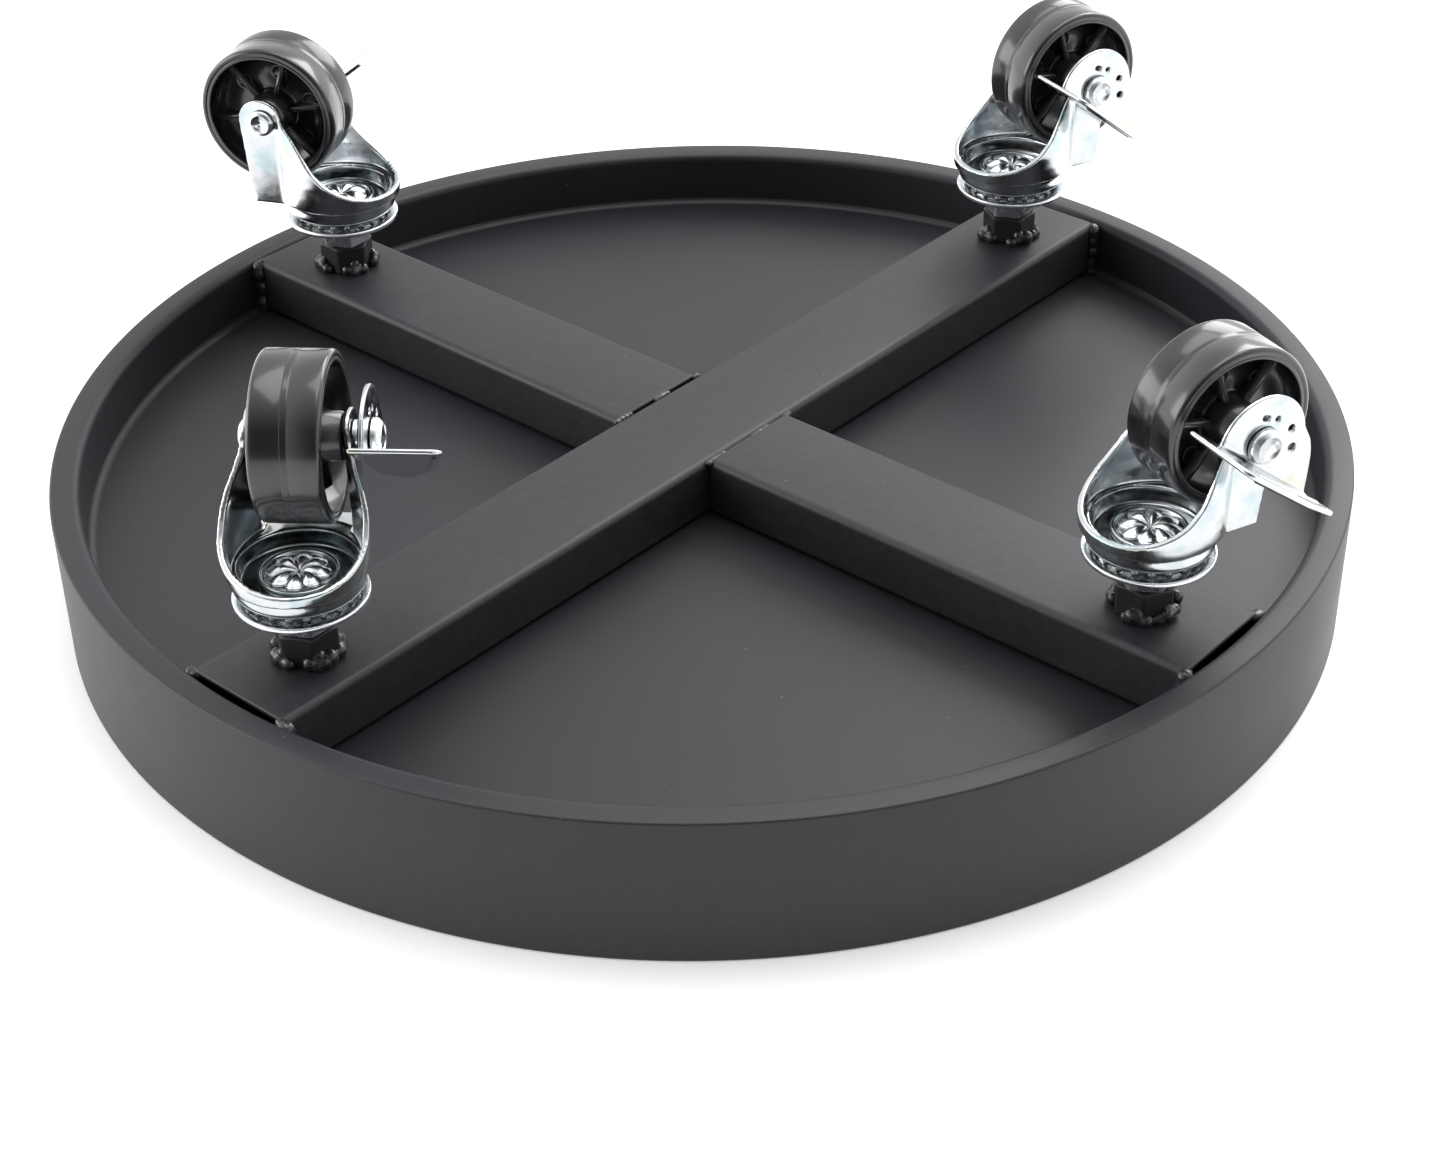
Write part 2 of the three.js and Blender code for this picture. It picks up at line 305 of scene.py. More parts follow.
def plate(name, outline, holes, low, high, edge):
    """A flat plate with holes and rounded edges, from low to high along Z."""
    curve = bpy.data.curves.new(name, "CURVE")
    curve.dimensions = "2D"
    curve.fill_mode = "BOTH"
    thickness = (high - low) * MM
    curve.bevel_depth = edge * MM
    curve.bevel_resolution = 2
    curve.offset = -edge * MM
    curve.extrude = thickness / 2 - edge * MM
    for loop in [outline, *holes]:
        spline = curve.splines.new("POLY")
        spline.points.add(len(loop) - 1)
        for point, (x, y) in zip(spline.points, loop):
            point.co = (x * MM, y * MM, 0, 1)
        spline.use_cyclic_u = True
    holder = bpy.data.objects.new(name, curve)
    mesh = evaluated_mesh(name, holder)
    mesh.transform(Matrix.Translation((0, 0, (low + high) / 2 * MM)))
    tidy_mesh(mesh)
    return mesh


def evaluated_mesh(name, holder):
    """The mesh of an object with its modifiers applied; the object is removed."""
    scene = bpy.context.scene
    scene.collection.objects.link(holder)
    graph = bpy.context.evaluated_depsgraph_get()
    mesh = bpy.data.meshes.new_from_object(holder.evaluated_get(graph), depsgraph=graph)
    mesh.name = name
    bpy.data.objects.remove(holder)
    return mesh


def combined(name, base, others, operation):
    """base with others joined on, cut away or kept in common."""
    scene = bpy.context.scene
    holder = bpy.data.objects.new(name, base)
    tools = []
    for other in others:
        tool = bpy.data.objects.new(name + "_tool", other)
        scene.collection.objects.link(tool)
        modifier = holder.modifiers.new("cut", "BOOLEAN")
        modifier.operation = operation
        modifier.solver = "EXACT"
        modifier.object = tool
        tools.append(tool)
    mesh = evaluated_mesh(name, holder)
    for tool in tools:
        bpy.data.objects.remove(tool)
    return mesh


def softened(name, mesh, voxel, rounds):
    """The mesh as one skin with its edges and joins rounded."""
    holder = bpy.data.objects.new(name, mesh)
    remesh = holder.modifiers.new("skin", "REMESH")
    remesh.mode = "VOXEL"
    remesh.voxel_size = voxel * MM
    smooth = holder.modifiers.new("soft", "SMOOTH")
    smooth.iterations = rounds
    smooth.factor = 0.5
    made = evaluated_mesh(name, holder)
    for polygon in made.polygons:
        polygon.use_smooth = True
    return made


def joined(name, meshes):
    bm = bmesh.new()
    for mesh in meshes:
        bm.from_mesh(mesh)
    made = bpy.data.meshes.new(name)
    bm.to_mesh(made)
    bm.free()
    for polygon in made.polygons:
        polygon.use_smooth = True
    return made


def blobs(name, centres, voxel=0.5, rounds=3):
    """Overlapping drops of weld metal: (x, y, z, radius) in mm, fused into one skin."""
    bm = bmesh.new()
    for x, y, z, radius in centres:
        place = Matrix.Translation((x * MM, y * MM, z * MM))
        bmesh.ops.create_icosphere(bm, subdivisions=2, radius=radius * MM, matrix=place)
    mesh = bpy.data.meshes.new(name)
    bm.to_mesh(mesh)
    bm.free()
    return softened(name, mesh, voxel, rounds)


def bead(start, end, radius, seed, flat=1.0):
    """Drops along a straight run of weld."""
    rng = random.Random(seed)
    a, b = Vector(start), Vector(end)
    count = max(2, round((b - a).length / (radius * 0.75)))
    drops = []
    for i in range(count + 1):
        p = a.lerp(b, i / count)
        wobble = Vector((rng.uniform(-1, 1), rng.uniform(-1, 1), rng.uniform(-1, 1)))
        p += wobble * radius * 0.14
        drops.append((p.x, p.y, p.z, radius * flat * rng.uniform(0.86, 1.12)))
    return drops


# ------------------------------------------------------------------ placing pieces
def add_piece(name, mesh, body, material, place=None, replaces=()):
    piece = bpy.data.objects.new(name, mesh)
    bpy.context.scene.collection.objects.link(piece)
    piece.matrix_world = place if place is not None else Matrix.Translation((0, 0, GROUND))
    if not mesh.materials:
        mesh.materials.append(material)
    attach(piece, body)
    if replaces:
        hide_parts(*replaces)
    return piece


def caster_place(number, turned_too=True):
    """Where a caster stands: its swivel axis, turned to its trail if asked."""
    x, y, _ = joints[f"caster_swivel_{number}"]["pos_m"]
    axis = joints[f"wheel_spin_{number}"]["axis"]
    angle = math.atan2(-axis[0], axis[1]) if turned_too else 0
    return Matrix.Translation((x, y, GROUND)) @ Matrix.Rotation(angle, 4, "Z")


def axle_place(number):
    return caster_place(number) @ Matrix.Translation((TRAIL * MM, 0, AXLE_HEIGHT * MM))


# ------------------------------------------------------------------ shader groups
def node(tree, kind, at=(0, 0), **values):
    made = tree.nodes.new(kind)
    made.location = at
    for key, value in values.items():
        setattr(made, key, value)
    return made


def new_group(name, inputs, outputs):
    tree = bpy.data.node_groups.new(name, "ShaderNodeTree")
    for label, value in inputs:
        socket = tree.interface.new_socket(label, in_out="INPUT", socket_type="NodeSocketFloat")
        socket.default_value = value
    for label in outputs:
        tree.interface.new_socket(label, in_out="OUTPUT", socket_type="NodeSocketFloat")
    return tree, node(tree, "NodeGroupInput", (-900, 0)), node(tree, "NodeGroupOutput", (700, 0))


def noise(tree, coordinates, scale, detail, roughness=0.55, at=(-300, 0)):
    made = node(tree, "ShaderNodeTexNoise", at)
    made.inputs["Detail"].default_value = detail
    made.inputs["Roughness"].default_value = roughness
    tree.links.new(coordinates, made.inputs["Vector"])
    if isinstance(scale, (int, float)):
        made.inputs["Scale"].default_value = scale
    else:
        tree.links.new(scale, made.inputs["Scale"])
    return made.outputs["Fac"]


def math_node(tree, operation, *values, at=(0, 0), clamp=False):
    made = node(tree, "ShaderNodeMath", at, operation=operation, use_clamp=clamp)
    for socket, value in zip(made.inputs, values):
        if isinstance(value, (int, float)):
            socket.default_value = value
        else:
            tree.links.new(value, socket)
    return made.outputs[0]


def remap(tree, value, low, high, to_low=0.0, to_high=1.0, at=(100, 0)):
    made = node(tree, "ShaderNodeMapRange", at)
    made.inputs["From Min"].default_value = low
    made.inputs["From Max"].default_value = high
    made.inputs["To Min"].default_value = to_low
    made.inputs["To Max"].default_value = to_high
    tree.links.new(value, made.inputs["Value"])
    return made.outputs["Result"]


def grain_group():
    """Fine grain of a cured powder or a moulded skin, with slow tone and rare specks."""
    tree, into, out = new_group(
        "Grain", [("Scale", 900.0), ("Speck Amount", 0.4)], ["Height", "Tone", "Specks"]
    )
    place = node(tree, "ShaderNodeTexCoord", (-900, 300)).outputs["Object"]
    fine = noise(tree, place, into.outputs["Scale"], 2.0, at=(-600, 200))
    coarse_scale = math_node(tree, "MULTIPLY", into.outputs["Scale"], 0.12, at=(-750, -80))
    coarse = noise(tree, place, coarse_scale, 3.0, at=(-600, -60))
    tree.links.new(
        math_node(tree, "MULTIPLY_ADD", coarse, 0.6, fine, at=(-300, 150)), out.inputs["Height"]
    )
    tone = noise(tree, place, 9.0, 4.0, at=(-600, -260))
    tree.links.new(remap(tree, tone, 0.3, 0.7, at=(-300, -200)), out.inputs["Tone"])
    cells = node(tree, "ShaderNodeTexVoronoi", (-600, -480))
    cells.inputs["Scale"].default_value = 170.0
    tree.links.new(place, cells.inputs["Vector"])
    dots = remap(tree, cells.outputs["Distance"], 0.05, 0.02, at=(-300, -420))
    colour = node(tree, "ShaderNodeSeparateColor", (-420, -560))
    tree.links.new(cells.outputs["Color"], colour.inputs["Color"])
    few = math_node(tree, "LESS_THAN", colour.outputs[0], 0.10, at=(-200, -600))
    kept = math_node(tree, "MULTIPLY", dots, few, at=(0, -480))
    tree.links.new(
        math_node(tree, "MULTIPLY", kept, into.outputs["Speck Amount"], at=(200, -480)),
        out.inputs["Specks"],
    )
    return tree


def rub_group():
    """Where edges stick out and get rubbed, broken up by noise."""
    tree, into, out = new_group("Edge Rub", [("Low", 0.52), ("High", 0.62)], ["Mask"])
    convex = node(tree, "ShaderNodeNewGeometry", (-700, 0)).outputs["Pointiness"]
    place = node(tree, "ShaderNodeTexCoord", (-900, 300)).outputs["Object"]
    broken = noise(tree, place, 320.0, 4.0, at=(-600, 240))
    shifted = math_node(tree, "MULTIPLY_ADD", broken, 0.06, convex, at=(-300, 60))
    made = node(tree, "ShaderNodeMapRange", (0, 0))
    tree.links.new(shifted, made.inputs["Value"])
    tree.links.new(into.outputs["Low"], made.inputs["From Min"])
    tree.links.new(into.outputs["High"], made.inputs["From Max"])
    tree.links.new(made.outputs["Result"], out.inputs["Mask"])
    return tree


def bloom_group():
    """Blue and yellow bloom of passivated zinc, with fine rolling streaks."""
    tree, into, out = new_group(
        "Zinc Bloom", [("Scale", 70.0)], ["Blue", "Yellow", "Streaks", "Haze"]
    )
    place = node(tree, "ShaderNodeTexCoord", (-900, 300)).outputs["Object"]
    shift = node(tree, "ShaderNodeVectorMath", (-760, 120), operation="ADD")
    shift.inputs[1].default_value = (3.1, 1.7, 0.4)
    tree.links.new(place, shift.inputs[0])
    blue = noise(tree, place, into.outputs["Scale"], 3.0, 0.6, at=(-500, 250))
    yellow = noise(tree, shift.outputs[0], into.outputs["Scale"], 3.0, 0.6, at=(-500, 50))
    tree.links.new(remap(tree, blue, 0.52, 0.68, at=(-200, 250)), out.inputs["Blue"])
    tree.links.new(remap(tree, yellow, 0.58, 0.70, at=(-200, 50)), out.inputs["Yellow"])
    stretch = node(tree, "ShaderNodeMapping", (-700, -200))
    stretch.inputs["Scale"].default_value = (60.0, 60.0, 2600.0)
    tree.links.new(place, stretch.inputs["Vector"])
    streaks = noise(tree, stretch.outputs[0], 1.0, 3.0, at=(-450, -200))
    tree.links.new(streaks, out.inputs["Streaks"])
    haze = noise(tree, place, 240.0, 5.0, at=(-450, -420))
    tree.links.new(remap(tree, haze, 0.35, 0.7, at=(-200, -400)), out.inputs["Haze"])
    return tree


def new_material(name):
    material = bpy.data.materials.new(name)
    material.use_nodes = True
    tree = material.node_tree
    shader = tree.nodes["Principled BSDF"]
    return material, tree, shader


def use_group(tree, group, at, **values):
    made = node(tree, "ShaderNodeGroup", at, node_tree=group)
    for label, value in values.items():
        made.inputs[label.replace("_", " ")].default_value = value
    return made


def blend_colours(tree, factor, first, second, at):
    made = node(tree, "ShaderNodeMix", at, data_type="RGBA")
    if isinstance(factor, (int, float)):
        made.inputs["Factor"].default_value = factor
    else:
        tree.links.new(factor, made.inputs["Factor"])
    for socket, value in ((made.inputs[6], first), (made.inputs[7], second)):
        if isinstance(value, tuple):
            socket.default_value = value
        else:
            tree.links.new(value, socket)
    return made.outputs[2]


def bump(tree, shader, value, distance, strength, at):
    made = node(tree, "ShaderNodeBump", at)
    made.inputs["Distance"].default_value = distance
    made.inputs["Strength"].default_value = strength
    tree.links.new(value, made.inputs["Height"])
    tree.links.new(made.outputs["Normal"], shader.inputs["Normal"])


def coat_material(name, colour, groups, gloss, grain, wet=False):
    """Black powder coat: satin on flat sheet, wetter and glossier over weld metal."""
    material, tree, shader = new_material(name)
    skin = use_group(tree, groups["grain"], (-900, 0), Scale=grain, Speck_Amount=0.35)
    rub = use_group(tree, groups["rub"], (-900, -300), Low=0.55, High=0.68)
    lighter = tuple(c * 1.5 + 0.001 for c in colour)
    base = blend_colours(tree, skin.outputs["Tone"], (*colour, 1), (*lighter, 1), (-600, 200))
    worn = blend_colours(tree, rub.outputs["Mask"], base, (0.05, 0.05, 0.054, 1), (-400, 150))
    dusty = blend_colours(tree, skin.outputs["Specks"], worn, (0.55, 0.55, 0.55, 1), (-200, 150))
    tree.links.new(dusty, shader.inputs["Base Color"])
    roughness = remap(tree, skin.outputs["Tone"], 0, 1, gloss - 0.04, gloss + 0.04, (-400, -100))
    tree.links.new(roughness, shader.inputs["Roughness"])
    shader.inputs["Specular IOR Level"].default_value = 0.6 if wet else 0.42
    bump(tree, shader, skin.outputs["Height"], 0.00006, 0.5 if wet else 0.35, (-300, -350))
    return material


def zinc_material(name, colour, groups, dull, blue_share, yellow_share):
    """Bright zinc plate with its blue and yellow passivation."""
    material, tree, shader = new_material(name)
    bloom = use_group(tree, groups["bloom"], (-1000, 0), Scale=75.0)
    rub = use_group(tree, groups["rub"], (-1000, -350), Low=0.56, High=0.70)
    blue = math_node(tree, "MULTIPLY", bloom.outputs["Blue"], blue_share, at=(-800, 200))
    yellow = math_node(tree, "MULTIPLY", bloom.outputs["Yellow"], yellow_share, at=(-800, 50))
    cold = blend_colours(tree, blue, (*colour, 1), (0.27, 0.43, 0.47, 1), (-600, 250))
    warm = blend_colours(tree, yellow, cold, (0.55, 0.48, 0.22, 1), (-450, 250))
    edge = blend_colours(tree, rub.outputs["Mask"], warm, (0.86, 0.87, 0.88, 1), (-280, 250))
    tree.links.new(edge, shader.inputs["Base Color"])
    shader.inputs["Metallic"].default_value = 1.0
    roughness = remap(tree, bloom.outputs["Haze"], 0, 1, dull - 0.05, dull + 0.10, (-400, -60))
    tree.links.new(roughness, shader.inputs["Roughness"])
    bump(tree, shader, bloom.outputs["Streaks"], 0.00003, 0.25, (-300, -300))
    return material


def plastic_material(name, colour, groups):
    """Moulded wheel plastic with flow marks and a thin scuff on its edges."""
    material, tree, shader = new_material(name)
    skin = use_group(tree, groups["grain"], (-900, 0), Scale=520.0, Speck_Amount=0.12)
    rub = use_group(tree, groups["rub"], (-900, -300), Low=0.56, High=0.72)
    lighter = tuple(c * 1.8 for c in colour)
    base = blend_colours(tree, skin.outputs["Tone"], (*colour, 1), (*lighter, 1), (-600, 200))
    worn = blend_colours(tree, rub.outputs["Mask"], base, (0.06, 0.06, 0.062, 1), (-400, 150))
    dusty = blend_colours(tree, skin.outputs["Specks"], worn, (0.4, 0.4, 0.4, 1), (-200, 150))
    tree.links.new(dusty, shader.inputs["Base Color"])
    roughness = remap(tree, skin.outputs["Tone"], 0, 1, 0.22, 0.34, (-400, -100))
    tree.links.new(roughness, shader.inputs["Roughness"])
    shader.inputs["Coat Weight"].default_value = 0.6
    shader.inputs["Coat Roughness"].default_value = 0.12
    bump(tree, shader, skin.outputs["Height"], 0.00004, 0.25, (-300, -350))
    return material


def finishes():
    """The materials, made once."""
    if "Black powder coat" not in bpy.data.materials:
        colours = bpy.context.scene.dolly_finish
        groups = {"grain": grain_group(), "rub": rub_group(), "bloom": bloom_group()}
        coat, zinc = tuple(colours.coat), tuple(colours.zinc)
        coat_material("Black powder coat", coat, groups, 0.46, 1100.0)
        coat_material("Coated weld", coat, groups, 0.2, 420.0, wet=True)
        zinc_material("Bright zinc", zinc, groups, 0.16, 0.55, 0.35)
        zinc_material("Plain zinc", tuple(c * 1.4 for c in zinc), groups, 0.22, 0.25, 0.12)
        # Very dark zinc for the swivel balls, which sit in the gap between the races.
        zinc_material("Dark ball zinc", (0.10, 0.10, 0.10), groups, 0.30, 0.0, 0.0)
        plastic_material("Moulded wheel", tuple(colours.plastic), groups)
    names = ("Black powder coat", "Coated weld", "Bright zinc", "Plain zinc", "Moulded wheel")
    return [bpy.data.materials[name] for name in (*names, "Dark ball zinc")]


# ------------------------------------------------------------------ tray
def ring_mesh(tray):
    outer, width = tray.radius / MM, tray.ring_width / MM
    inner, top = outer - width, height(ring_high.z)
    profile = [
        *arc(outer - 0.9, 0.9, 0.9, 270, 360, 4),
        *arc(outer - 0.9, top - 0.9, 0.9, 0, 90, 4),
        *arc(inner + 3, top - 3, 3, 90, 180, 8),
        *arc(inner + 3, 3, 3, 180, 270, 8),
    ]
    return turned("tray_ring_shell", profile, 288)


def deck_mesh(tray):
    edge = (tray.radius - tray.ring_width) / MM + 0.2
    top, fillet = height(deck_low.z) + tray.sheet / MM, tray.fillet / MM
    low = height(deck_low.z)
    radii = [0, 30, 60, 90, 120, 150, 175, 190]
    profile = [
        *[(r, low) for r in radii],
        (edge, low),
        *arc(edge - fillet, top + fillet, fillet, 0, -90, 8),
        *[(r, top) for r in reversed(radii)],
    ]
    return turned("deck_sheet", profile, 288)


def tube_section(tray, inset):
    edge = max(tray.tube_edge / MM - inset, 1.0)
    width = 20 - inset
    depth = (height(tube_high.z) - height(tube_low.z)) / 2 - inset
    x, z = width - edge, depth - edge
    return [
        *arc(x, z, edge, 0, 90, 6),
        *arc(-x, z, edge, 90, 180, 6),
        *arc(-x, -z, edge, 180, 270, 6),
        *arc(x, -z, edge, 270, 360, 6),
    ]


def tube_mesh(name, tray, start, end):
    """A hollow tube along X with open ends."""
    middle = (height(tube_low.z) + height(tube_high.z)) / 2
    wall = 1.5
    outer, inner = tube_section(tray, 0), tube_section(tray, wall)
    stations = [start, start + 0.5, end - 0.5, end]
    rings = []
    for x in stations:
        rings.append([(x, y, middle + z) for y, z in outer])
    for x in reversed(stations):
        rings.append([(x, y, middle + z) for y, z in inner])
    count = len(outer)
    vertices = [p for ring in rings for p in ring]
    faces = []
    for a in range(len(rings)):
        b = (a + 1) % len(rings)
        for i in range(count):
            j = (i + 1) % count
            faces.append((a * count + i, a * count + j, b * count + j, b * count + i))
    return mesh_from(name, vertices, faces)


class DOLLY_OT_tray(bpy.types.Operator):
    """Build the rolled ring and the deck plate welded inside it"""

    bl_idname = "dolly.tray"
    bl_label = "Ring and deck"

    def execute(self, context):
        tray = context.scene.dolly_tray
        coat = finishes()[0]
        add_piece("ring_shell", ring_mesh(tray), "tray", coat, replaces=["tray_ring"])
        add_piece("deck_sheet", deck_mesh(tray), "tray", coat, replaces=["deck_plate"])
        return {"FINISHED"}


class DOLLY_OT_cross(bpy.types.Operator):
    """Build the cross of hollow tubes under the deck"""

    bl_idname = "dolly.cross"
    bl_label = "Cross tubes"

    def execute(self, context):
        tray = context.scene.dolly_tray
        coat = finishes()[0]
        reach, branch = tube_high.x / MM + 1.9, half_low.y / MM
        long_tube = tube_mesh("long_tube", tray, -reach, reach)
        add_piece("long_tube", long_tube, "tray", coat, replaces=["cross_tube_long"])
        short = tube_mesh("half_tube", tray, branch, reach)
        for number, angle in ((1, 90), (2, -90)):
            turn = Matrix.Rotation(math.radians(angle), 4, "Z")
            place = Matrix.Translation((0, 0, GROUND)) @ turn
            name = f"half_tube_{number}"
            add_piece(name, short, "tray", coat, place, [f"cross_tube_half_{number}"])
        return {"FINISHED"}


class DOLLY_OT_welds(bpy.types.Operator):
    """Build the weld beads at the tube ends and along the centre seams"""

    bl_idname = "dolly.welds"
    bl_label = "Weld beads"

    def execute(self, context):
        tray = context.scene.dolly_tray
        wet = finishes()[1]
        radius = tray.bead / MM
        low, top = height(tube_low.z) + 1, height(tube_high.z)
        reach = tube_high.x / MM
        for number in CASTERS:
            turn = Matrix.Rotation(math.radians(90 * (number - 1)), 4, "Z")
            place = Matrix.Translation((0, 0, GROUND)) @ turn
            drops = []
            for side in (-1, 1):
                corner = side * 20.2
                foot, head = (reach + 1.6, corner, low), (reach + 1.6, corner, top - 2.6)
                drops += bead(foot, head, radius, 10 * number + side)
                bridge = (reach + 1.4, side * 18.2, top - 1.9)
                drops += bead(head, bridge, radius * 0.72, 20 * number + side)
            add_piece(f"end_weld_{number}", blobs("end_weld", drops), "tray", wet, place)
        seam = (half_low.y / MM) - 0.3
        runs = {1: [(-20, -14), (-1, 5), (19, 20)], -1: [(-20, -13), (2.3, 8.6), (18.8, 20)]}
        for side, parts in runs.items():
            drops = []
            for k, (start, end) in enumerate(parts):
                a, b = (start, side * seam, top - 1.0), (end, side * seam, top - 1.0)
                drops += bead(a, b, 1.3, 40 + k + side)
            name = "seam_weld_1" if side > 0 else "seam_weld_2"
            add_piece(name, blobs("seam_weld", drops, 0.35, 4), "tray", wet)
        return {"FINISHED"}


# ------------------------------------------------------------------ caster pieces, swivel axis on Z
def nut_mesh():
    low, top = height(nut_low.z), height(nut_high.z)
    flats = 17 / 2
    hexagon = [(2 * flats / math.sqrt(3) * math.cos(math.radians(60 * i)),
                2 * flats / math.sqrt(3) * math.sin(math.radians(60 * i))) for i in range(6)]
    body = prism("nut", rounded(hexagon, 0.9), low, top)
    dome = [(0, low - 1), (10.2, low - 1), (10.2, top - 0.9), (8.3, top + 0.001), (0, top + 0.001)]
    trimmed = combined("nut", body, [turned("dome", dome, 64)], "INTERSECT")
    bore = prism("bore", arc(0, 0, 5.2, 0, 360, 40)[:-1], low - 2, top + 2)
    made = combined("nut", trimmed, [bore], "DIFFERENCE")
    return softened("nut", made, 0.35, 3)


def nut_weld_mesh(number):
    rng = random.Random(70 + number)
    drops = []
    base = height(nut_low.z)
    for k in range(4):
        angle = math.radians(rng.uniform(-12, 12) + (150, 222, 292, 60)[k] + 10 * number)
        for j in range(4):
            a = angle + math.radians(12 * (j - 1.5))
            r = 9.3 + rng.uniform(-0.4, 0.4)
            size = rng.uniform(2.0, 3.0)
            drops.append((r * math.cos(a), r * math.sin(a), base + 0.6 + rng.uniform(0, 1.3), size))
        drops.append((8.6 * math.cos(angle), 8.6 * math.sin(angle), base + 3.4, 1.9))
    return blobs("nut_weld", drops, 0.4, 3)


def stem_mesh():
    """Threaded stem, hexagon collar and kingpin in one forging."""
    collar_low = height(nut_high.z) + GAP
    flats = 8.0
    points = [(2 * flats / math.sqrt(3) * math.cos(math.radians(60 * i)),
               2 * flats / math.sqrt(3) * math.sin(math.radians(60 * i))) for i in range(6)]
    hexagon = rounded(points, 0.7)
    collar = prism("collar", hexagon, collar_low, collar_low + 5)
    shank = [(0, collar_low - 19), (4.2, collar_low - 19), (4.8, collar_low - 18)]
    for k in range(18):
        z = collar_low - 18 + k
        shank += [(4.8, z), (4.3, z + 0.5)]
    shank += [(4.8, collar_low + 1), (0, collar_low + 1)]
    thread = turned("shank", shank, 48)
    pin = turned("pin", [(0, collar_low + 4), (PIN, collar_low + 4), (PIN, 76.5), (0, 76.5)], 48)
    made = combined("stem", collar, [thread, pin], "UNION")
    for polygon in made.polygons:
        polygon.use_smooth = False
    return made


def rosette_mesh(caster):
    """Peened head of the kingpin: petals raised round a sunken middle."""
    rings, around = 14, 24 * caster.petals
    base, petals = 75.9, caster.petals
    vertices, faces = [], []
    for i in range(rings + 1):
        share = i / rings
        for s in range(around):
            a = 2 * math.pi * s / around
            wave = abs(math.cos(petals * a / 2)) ** 0.7
            reach = 9.6 * (0.74 + 0.26 * wave)
            r = 0.4 + (reach - 0.4) * share
            crown = math.sin(math.pi * min(1.0, share * 1.05)) ** 0.8
            groove = (1 - wave) * 1.3 * math.sin(math.pi * min(1, share + 0.12))
            z = base + 0.7 + 1.9 * crown - groove
            if share > 0.93:
                z = base + 0.9
            vertices.append((r * math.cos(a), r * math.sin(a), z))
    top = len(vertices)
    for s in range(around):
        x, y, _ = vertices[rings * around + s]
        vertices.append((x * 0.97, y * 0.97, base))
    for i in range(rings):
        for s in range(around):
            t = (s + 1) % around
            inner, outer = i * around, (i + 1) * around
            faces.append((inner + s, outer + s, outer + t, inner + t))
    for s in range(around):
        t = (s + 1) % around
        faces.append((rings * around + s, top + s, top + t, rings * around + t))
    faces.append(tuple(reversed(range(around))))
    faces.append(tuple(range(top, top + around)))
    return mesh_from("rosette", vertices, faces)


def lower_race_mesh():
    low = height(nut_high.z) + GAP + COLLAR + GAP
    profile = rounded(
        [
            (PIN + GAP, low),
            (10.5, low),
            (17, 68.3),
            (19.9, 68.4),
            (19.9, 70.2),
            (17.2, 70.0),
            (10, low + 1.6),
            (PIN + GAP, low + 1.6),
        ],
        [0.2, 1.2, 1.2, 0.7, 0.7, 1.2, 1.2, 0.2],
    )
    return turned("lower_race", profile, 128)


def ball_ring_mesh(caster):
    bm = bmesh.new()
    for i in range(caster.balls):
        a = 2 * math.pi * i / caster.balls
        at = Matrix.Translation((15.4 * MM * math.cos(a), 15.4 * MM * math.sin(a), 70.5 * MM))
        bmesh.ops.create_uvsphere(bm, u_segments=20, v_segments=12, radius=1.35 * MM, matrix=at)
    balls = bpy.data.meshes.new("balls")
    bm.to_mesh(balls)
    bm.free()
    section = [(14.0, 70.2), (16.0, 70.2), (16.0, 71.2), (14.0, 71.2)]
    cage = turned("cage", rounded(section, 0.2), 96)
    return joined("ball_ring", [balls, cage])


def top_race_mesh():
    low = CUP_FLOOR + SHEET + GAP
    profile = rounded(
        [
            (PIN + GAP, low),
            (10.6, low),
            (11.75, low + 1),
            (11.75, low + 2.7),
            (10.7, low + 2.7),
            (10.1, low + 1.4),
            (PIN + GAP, low + 1.4),
        ],
        [0.2, 0.5, 0.5, 0.5, 0.5, 0.5, 0.2],
    )
    return turned("top_race", profile, 128)


def flare(z):
    """Half-width of the fork over its shoulder at a height."""
    heights = [78, 80.4, 83, 88, 95, 100, 105, 125]
    widths = [20, 20.6, 21.1, 21.6, 21.6, 20.8, 19.4, 19.2]
    return float(np.interp(z, heights, widths))


def fork_section(z, inset):
    side, wide = LEG_SIDE - inset, flare(z) - inset
    half = [(34, side)]
    for k in range(13):
        v = k / 12
        share = 1 - (1 - v) ** 2.2
        half.append((CREASE - v * (CREASE - SHOULDER), side + share * (wide - side)))
    reach = NOSE - inset
    nose = [
        (SHOULDER + reach * math.cos(a), wide * math.sin(a))
        for a in np.radians(np.linspace(90, 270, 33)[1:-1])
    ]
    mirrored = [(x, -y) for x, y in reversed(half)]
    return [(x, y, z) for x, y in [*half, *nose, *mirrored]]


def fork_side_outline():
    tip = arc(TRAIL + 0.6, AXLE_HEIGHT, 8.2, 0, 180, 20)
    front = [
        (11.4, 107.4), (8.4, 104), (5.5, 100.4), (3, 96.6), (0.6, 93), (-2.6, 89.8),
        (-7, 86.8), (-12, 84.2), (-17, 82.3), (-22, 81.2), (-28, 80.9),
    ]
    back = rounded([(26.5, WEB_TOP - 2.2), (28.0, 91)], 0)
    foot = [(-28, 60), (18.2, 60), (18.8, 73.5), (19.6, 76.6), (21, 77.2)]
    return [*foot, *back, *tip, *front]


